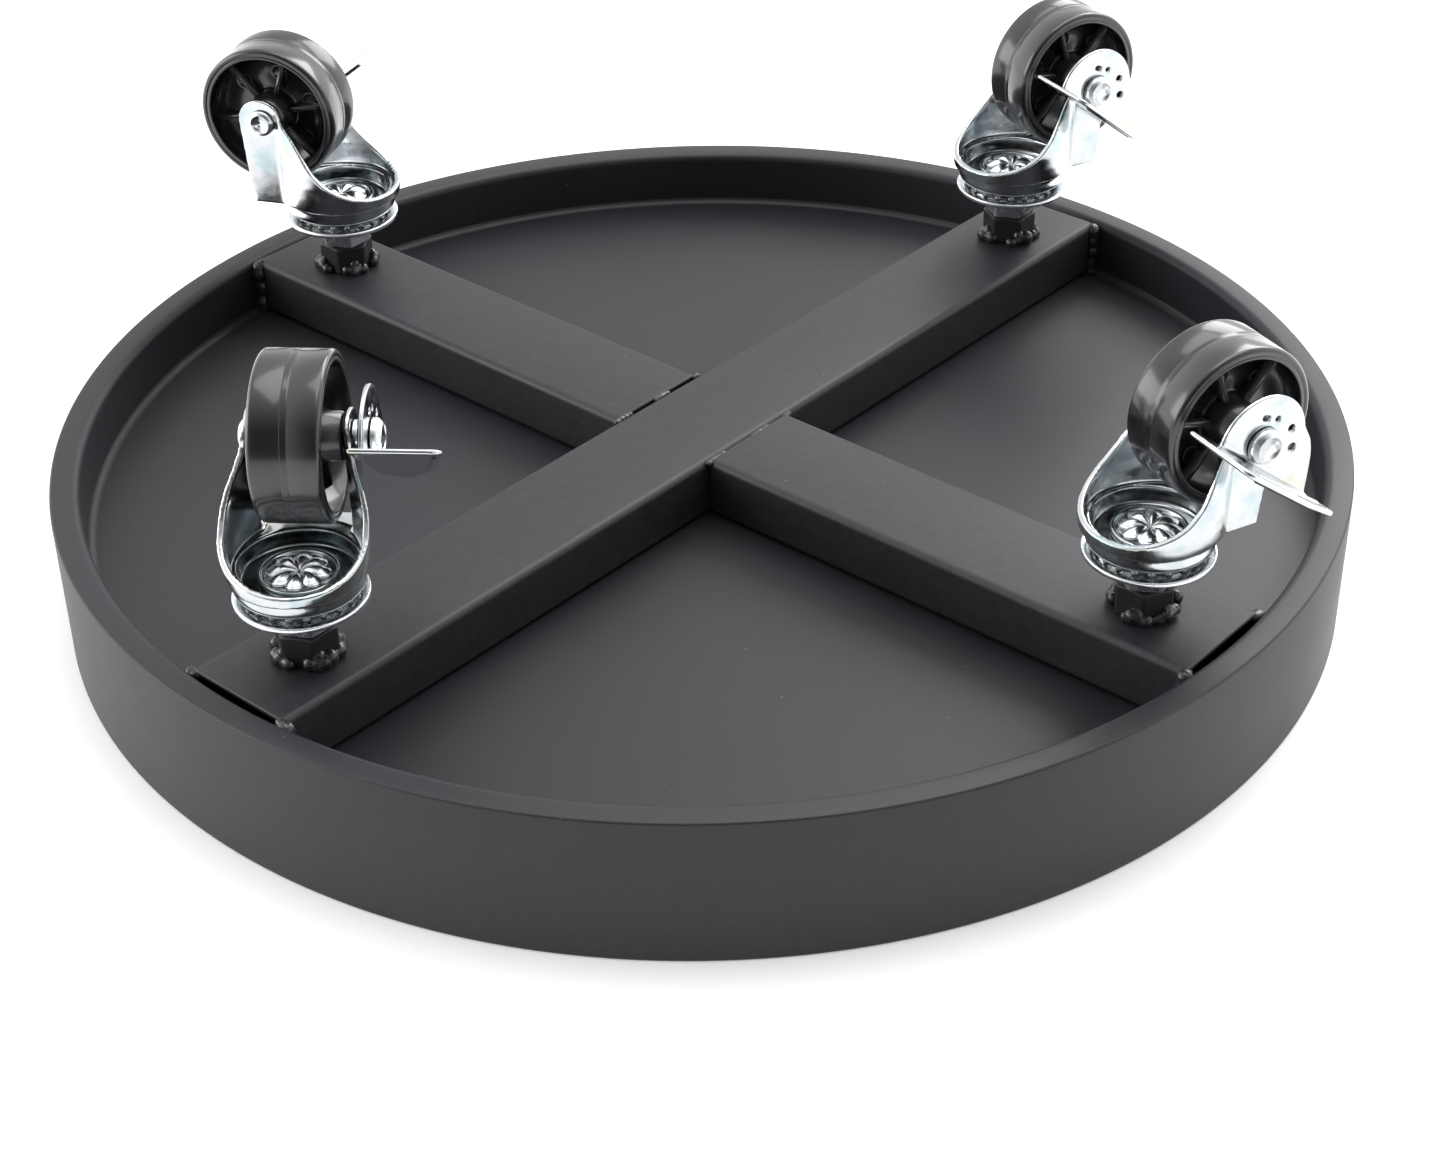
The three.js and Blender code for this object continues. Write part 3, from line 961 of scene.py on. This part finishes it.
def fork_mesh():
    """Pressed fork: bearing cup, web behind it and two flared legs."""
    levels = [78, 79.2, 80.4, 81.7, 83, 85.5, 88, 91.5, 95, 97.5, 100, 102.5, 105, 112, 125]
    skin = loft("skin", [fork_section(z, 0) for z in levels])
    inside = [fork_section(z if z > 78 else 80, SHEET) for z in levels if z == 78 or z > 80]
    hollow = loft("hollow", inside)
    pan = turned(
        "pan",
        rounded(
            [(0, CUP_FLOOR), (CUP_RADIUS, CUP_FLOOR), (CUP_RADIUS, WEB_TOP + 1), (0, WEB_TOP + 1)],
            [0, 3.0, 0, 0],
            8,
        ),
        96,
    )
    space = turned(
        "space",
        rounded(
            [
                (0, CUP_FLOOR + SHEET),
                (CUP_RADIUS - SHEET, CUP_FLOOR + SHEET),
                (CUP_RADIUS - SHEET, 96),
                (0, 96),
            ],
            [0, 1.6, 0, 0],
            6,
        ),
        96,
    )
    ridge_runs = (
        (18.9, 0.9, WEB_TOP - 1.2, np.radians(np.linspace(-46, 46, 31))),
        (22.6, 0.6, WEB_TOP - 0.3, np.radians(np.linspace(-36, 36, 25))),
    )
    ridges = []
    for radius, size, z, sweep in ridge_runs:
        rings = []
        for a in sweep:
            ring = []
            for b in np.radians(np.arange(0, 360, 30)):
                r = radius + size * math.cos(b)
                ring.append((r * math.cos(a), r * math.sin(a), z + size * math.sin(b)))
            rings.append(ring)
        ridges.append(loft("ridge", rings))
    body = combined("fork", skin, [pan], "UNION")
    body = combined("fork", body, [hollow, space], "DIFFERENCE")
    body = combined("fork", body, ridges, "UNION")
    lay = Matrix.Rotation(math.pi / 2, 4, "X")
    trim = prism("trim", fork_side_outline(), -40, 40, lay)
    body = combined("fork", body, [trim], "INTERSECT")
    pin_hole = prism("pin_hole", arc(0, 0, PIN + GAP, 0, 360, 40)[:-1], 60, 90)
    axle_hole = prism(
        "axle_hole",
        arc(TRAIL, AXLE_HEIGHT, BORE, 0, 360, 32)[:-1],
        -40,
        40,
        lay,
    )
    body = combined("fork", body, [pin_hole, axle_hole], "DIFFERENCE")
    return softened("fork", body, 0.42, 9)


def wheel_mesh(caster):
    """Moulded wheel about Y: tread with its double mould line, sunk sides, ribs and hub."""
    radius, half = caster.wheel_radius / MM, caster.wheel_half_width / MM
    bore, hub, hub_half, web, rim = BORE, 7.0, 12.8, 2.5, 21.3
    upper = [
        (radius, 0.25),
        (radius, 0.55),
        (radius, 0.75),
        (radius - 0.16, 0.95),
        (radius, 1.2),
        (radius, half - 1.9),
        *arc(radius - 1.5, half - 1.5, 1.5, 8, 84, 8),
        (radius - 1.9, half - 0.12),
        (radius - 2.2, half - 0.35),
        (radius - 2.5, half - 0.12),
        *arc(rim + 0.6, half - 0.5, 0.5, 80, 180, 4),
        (rim - 1.1, web),
        *arc(hub + 2.0, web + 1.0, 1.0, 270, 180, 4),
        (hub + 0.2, hub_half - 0.5),
        (hub - 0.4, hub_half),
        (bore + 0.4, hub_half),
        (bore, hub_half - 0.4),
    ]
    lower = [(r, -h) for r, h in reversed(upper)]
    body = turned("wheel", [*upper, *lower], 144, "Y")
    bits = [body]
    lay = Matrix.Rotation(math.pi / 2, 4, "X")
    rib_plan = [(hub - 0.3, -0.7), (rim - 0.3, -0.7), (rim - 0.3, 0.7), (hub - 0.3, 0.7)]
    for side in (-1, 1):
        for k in range(caster.spokes):
            a = math.radians(360 / caster.spokes * k + 12)
            rib = prism(
                "rib",
                rounded(rib_plan, 0.15),
                min(side * 2.2, side * 6.2),
                max(side * 2.2, side * 6.2),
                lay,
            )
            rib.transform(Matrix.Rotation(a, 4, "Y"))
            bits.append(rib)
            b = a + math.pi / caster.spokes
            mark = [(0, 2.3), (3.0, 2.3), (3.0, 2.9), (2.75, 3.1), (2.45, 2.75), (0, 2.75)]
            disc = turned("mark", [(r, side * h) for r, h in mark], 32, "Y")
            spot = (14.4 * MM * math.cos(b), 0, 14.4 * MM * math.sin(b))
            disc.transform(Matrix.Translation(spot))
            bits.append(disc)
    return joined("wheel", bits)


def axle_mesh():
    """Rivet through legs, wheel and lever: a small domed head and a large one."""
    small, large = LEG_SIDE + GAP, LEVER_INNER + LEVER_SHEET + GAP
    profile = [
        (0, -large - 3.6),
        *rounded([(3.6, -large - 3.4), (5.6, -large - 1.6), (5.6, -large)], [0.8, 1.0, 0.2], 4),
        (RIVET, -large),
        (RIVET, small),
        *rounded([(4.6, small), (4.6, small + 0.9), (3.0, small + 2.0)], [0.1, 0.5, 0.8], 4),
        (1.6, small + 1.7),
        (0.8, small + 1.0),
        (0, small + 0.9),
    ]
    return turned("axle", profile, 72, "Y")


def washer_mesh():
    near, far = -(LEG_SIDE + GAP), -(LEVER_INNER - GAP)
    profile = rounded([(BORE, far), (WASHER, far), (WASHER, near), (BORE, near)], 0.25, 3)
    return turned("washer", profile, 48, "Y")


def lever_mesh():
    """Brake lever drawn level about the axle: lobe outside the leg, foot plate folded outwards."""
    inner, sheet, lobe, fold = LEVER_INNER, LEVER_SHEET, LOBE, FOLD
    angle = math.degrees(math.asin(fold / lobe))
    outline = [
        (-25.2, -fold - sheet),
        (27.2, -fold - sheet),
        (27.2, -fold),
        *rounded([(24.5, -2.0), (19.0, 6.0), (12.6, 10.6)], [0, 4.0, 0], 5)[:-1],
        *arc(0, 0, lobe, 44, 180 + angle, 28),
        (-25.2, -fold),
    ]
    bore = arc(0, 0, BORE, 0, 360, 24)[:-1]
    marks = [
        rounded([(-6.2, 7.2), (-3.6, 7.9), (-3.2, 6.3), (-5.8, 5.6)], 0.6, 3),
        arc(-0.6, 8.3, 0.9, 0, 360, 12)[:-1],
        arc(6.5, 8.0, 1.15, 0, 360, 14)[:-1],
        arc(11.2, 3.4, 1.3, 0, 360, 14)[:-1],
    ]
    upright = plate("lobe", outline, [bore, *marks], inner, inner + sheet, 0.35)
    upright.transform(Matrix.Rotation(math.pi / 2, 4, "X"))
    foot_outline = [
        (-26, 0.6),
        *arc(-22, -21.6, 4, 180, 262, 6),
        (12.0, -18.6),
        *arc(33, -6.0, 3, 300, 375, 6),
        (27, 0.6),
    ]
    foot = plate("foot", foot_outline, [], -sheet, 0, 0.35)
    bits = [foot]
    ridges = (
        ((-17, -21.0), (28, -6.4), 0.7, 0.0),
        ((-14, -15.5), (25, -3.6), 0.6, 0.0),
        ((-19, -22.6), (11, -16.6), 0.8, -1.6),
    )
    for start, end, size, depth in ridges:
        a, b = Vector((*start, depth)), Vector((*end, depth))
        drops = [(*a.lerp(b, k / 40), size) for k in range(41)]
        bits.append(blobs("rib", drops, 0.35, 2))
    foot = joined("foot", bits)
    foot.transform(Matrix.Translation((0, -inner * MM, -fold * MM)))
    made = softened("lever", joined("lever", [upright, foot]), 0.4, 4)
    made.transform(Matrix.Rotation(math.radians(LEVER_TILT), 4, "Y"))
    return made


class DOLLY_OT_stems(bpy.types.Operator):
    """Build the weld nuts, stems, races and balls that carry the casters"""

    bl_idname = "dolly.stems"
    bl_label = "Nuts, stems and races"

    def execute(self, context):
        caster = context.scene.dolly_caster
        coat, wet, bright, plain, _, dark_ball_zinc = finishes()
        nut, stem, rosette = nut_mesh(), stem_mesh(), rosette_mesh(caster)
        low, balls, top = lower_race_mesh(), ball_ring_mesh(caster), top_race_mesh()
        for n in CASTERS:
            place = caster_place(n, False)
            side = place @ Matrix.Rotation(math.radians(90 * (n - 1)), 4, "Z")
            add_piece(f"nut_{n}", nut, "tray", coat, side, [f"weld_nut_{n}"])
            add_piece(f"nut_weld_{n}", nut_weld_mesh(n), "tray", wet, place)
            add_piece(f"stem_{n}", stem, "tray", plain, place, [f"caster_stem_{n}"])
            add_piece(f"kingpin_head_{n}", rosette, "tray", plain, caster_place(n))
            add_piece(f"race_washer_{n}", low, "tray", plain, place, [f"lower_race_{n}"])
            # The swivel balls take the very dark zinc.
            add_piece(f"swivel_balls_{n}", balls, "tray", dark_ball_zinc, place, [f"ball_ring_{n}"])
            add_piece(f"head_washer_{n}", top, "tray", bright, place, [f"top_race_{n}"])
        return {"FINISHED"}


class DOLLY_OT_forks(bpy.types.Operator):
    """Build the pressed forks with their axles and washers"""

    bl_idname = "dolly.forks"
    bl_label = "Forks and axles"

    def execute(self, context):
        _, _, bright, plain, _, _ = finishes()
        fork, axle, washer = fork_mesh(), axle_mesh(), washer_mesh()
        for n in CASTERS:
            body, zinc = f"swivel_fork_{n}", "zinc_plate"
            hub = axle_place(n)
            add_piece(f"pressed_fork_{n}", fork, body, bright, caster_place(n), [f"fork_{n}"])
            add_piece(f"axle_rivet_{n}", axle, body, plain, hub, [f"wheel_axle_{n}"])
            add_piece(f"lever_washer_{n}", washer, body, plain, hub, [f"brake_washer_{n}"])
        return {"FINISHED"}


class DOLLY_OT_wheels(bpy.types.Operator):
    """Build the moulded wheels"""

    bl_idname = "dolly.wheels"
    bl_label = "Wheels"

    def execute(self, context):
        wheel = wheel_mesh(context.scene.dolly_caster)
        plastic = finishes()[4]
        for n in CASTERS:
            place, slot = axle_place(n), "black_wheel_plastic"
            name, body = f"moulded_wheel_{n}", f"roller_{n}"
            add_piece(name, wheel, body, plastic, place, [f"wheel_{n}"])
        return {"FINISHED"}


class DOLLY_OT_brakes(bpy.types.Operator):
    """Build the brake levers"""

    bl_idname = "dolly.brakes"
    bl_label = "Brake levers"

    def execute(self, context):
        lever = lever_mesh()
        bright = finishes()[2]
        for n in CASTERS:
            place, slot = axle_place(n), "zinc_plate"
            name, body = f"foot_lever_{n}", f"brake_{n}"
            add_piece(name, lever, body, bright, place, [f"brake_lever_{n}"])
        return {"FINISHED"}


# ------------------------------------------------------------------ stage
def floor_material():
    material, tree, shader = new_material("Pale floor")
    place = node(tree, "ShaderNodeTexCoord", (-900, 0)).outputs["Object"]
    tone = noise(tree, place, 3.0, 3.0, at=(-600, 0))
    colour = blend_colours(tree, tone, (0.86, 0.86, 0.86, 1), (0.90, 0.90, 0.90, 1), (-300, 0))
    tree.links.new(colour, shader.inputs["Base Color"])
    shader.inputs["Roughness"].default_value = 0.6
    shader.inputs["Emission Color"].default_value = (1, 1, 1, 1)
    shader.inputs["Emission Strength"].default_value = 0.2
    return material


def studio_world(right, away):
    """A pale room, bright to the sides and overhead, dimmer behind the camera."""
    world = bpy.data.worlds.new("Studio")
    world.use_nodes = True
    bpy.context.scene.world = world
    tree = world.node_tree
    direction = node(tree, "ShaderNodeTexCoord", (-1100, 0)).outputs["Generated"]
    shares = []
    for axis, y in ((right, 200), (away, 0), (Vector((0, 0, 1)), -200)):
        dot = node(tree, "ShaderNodeVectorMath", (-900, y), operation="DOT_PRODUCT")
        dot.inputs[1].default_value = tuple(axis)
        tree.links.new(direction, dot.inputs[0])
        shares.append(dot.outputs["Value"])
    side = math_node(tree, "ABSOLUTE", shares[0], at=(-700, 200))
    sides = remap(tree, side, 0.30, 0.95, 0.0, 1.05, (-500, 200))
    behind = remap(tree, shares[1], -0.5, 0.8, 0.13, 1.10, (-500, 0))
    above = remap(tree, shares[2], 0.6, 1.0, 0.0, 0.75, (-500, -200))
    total = math_node(tree, "ADD", sides, behind, at=(-300, 100))
    total = math_node(tree, "ADD", total, above, at=(-150, 0))
    tree.links.new(total, tree.nodes["Background"].inputs["Strength"])
    tree.nodes["Background"].inputs["Color"].default_value = (1.0, 1.0, 1.0, 1)


def soft_light(name, place, size, watts):
    lamp = bpy.data.lights.new(name, "AREA")
    lamp.shape = "RECTANGLE"
    lamp.size, lamp.size_y = size
    lamp.energy = watts
    holder = bpy.data.objects.new(name, lamp)
    holder.location = place
    holder.rotation_mode = "QUATERNION"
    holder.rotation_quaternion = (-place).to_track_quat("-Z", "Y")
    bpy.context.scene.collection.objects.link(holder)


class DOLLY_OT_stage(bpy.types.Operator):
    """Set the floor, the lights and the camera"""

    bl_idname = "dolly.stage"
    bl_label = "Floor, light and camera"

    def execute(self, context):
        scene, stage = context.scene, context.scene.dolly_stage
        floor = bpy.data.objects.new("floor", mesh_from(
            "floor", [(-6000, -6000, 0), (6000, -6000, 0), (6000, 6000, 0), (-6000, 6000, 0)],
            [(0, 1, 2, 3)]))
        floor.location.z = GROUND
        floor.data.materials.append(floor_material())
        scene.collection.objects.link(floor)

        turn = stage.azimuth
        right = Vector((math.cos(turn), math.sin(turn), 0))
        away = Vector((-math.sin(turn), math.cos(turn), 0))
        studio_world(right, away)
        soft_light("back_softbox", right * 1.0 + away * 1.4 + Vector((0, 0, 1.2)), (1.3, 1.1), 24)
        soft_light("left_softbox", right * -1.7 - away * 0.1 + Vector((0, 0, 0.6)), (1.4, 0.9), 13)
        soft_light("top_softbox", right * 0.3 + away * 0.3 + Vector((0, 0, 2.0)), (1.6, 1.6), 20)

        camera_data = bpy.data.cameras.new("camera")
        camera_data.lens = stage.lens
        camera_data.sensor_width = 36
        camera_data.shift_x, camera_data.shift_y = -0.0148, -0.0193
        camera_data.clip_start = 0.01
        camera = bpy.data.objects.new("camera", camera_data)
        lift = stage.elevation
        outward = Vector((
            math.sin(turn) * math.cos(lift), -math.cos(turn) * math.cos(lift), math.sin(lift)))
        target = Vector((-1.3 * MM, -18.3 * MM, GROUND))
        camera.location = target + outward * stage.distance
        camera.rotation_mode = "QUATERNION"
        roll = Quaternion((0, 0, 1), math.radians(-0.65))
        camera.rotation_quaternion = (-outward).to_track_quat("-Z", "Y") @ roll
        scene.collection.objects.link(camera)
        scene.camera = camera
        scene.view_settings.view_transform = "Standard"
        return {"FINISHED"}


class DOLLY_PT_panel(bpy.types.Panel):
    """Lists the pieces of the dolly in the order they are built"""

    bl_idname = "DOLLY_PT_panel"
    bl_label = "Furniture dolly"
    bl_space_type = "VIEW_3D"
    bl_region_type = "UI"
    bl_category = "Dolly"

    def draw(self, context):
        for name in SETTINGS:
            settings = getattr(context.scene, name)
            box = self.layout.box()
            for key in settings.__annotations__:
                box.prop(settings, key)
        for operator in OPERATORS:
            self.layout.operator(operator.bl_idname)


OPERATORS = (
    DOLLY_OT_tray,
    DOLLY_OT_cross,
    DOLLY_OT_welds,
    DOLLY_OT_stems,
    DOLLY_OT_forks,
    DOLLY_OT_wheels,
    DOLLY_OT_brakes,
    DOLLY_OT_stage,
)


def register():
    for cls in (*SETTINGS.values(), *OPERATORS, DOLLY_PT_panel):
        bpy.utils.register_class(cls)
    for name, cls in SETTINGS.items():
        setattr(bpy.types.Scene, name, PointerProperty(type=cls))


def unregister():
    for name in SETTINGS:
        delattr(bpy.types.Scene, name)
    for cls in reversed((*SETTINGS.values(), *OPERATORS, DOLLY_PT_panel)):
        bpy.utils.unregister_class(cls)


def main():
    register()
    for operator in OPERATORS:
        group, name = operator.bl_idname.split(".")
        getattr(getattr(bpy.ops, group), name)()


if __name__ == "__main__":
    main()
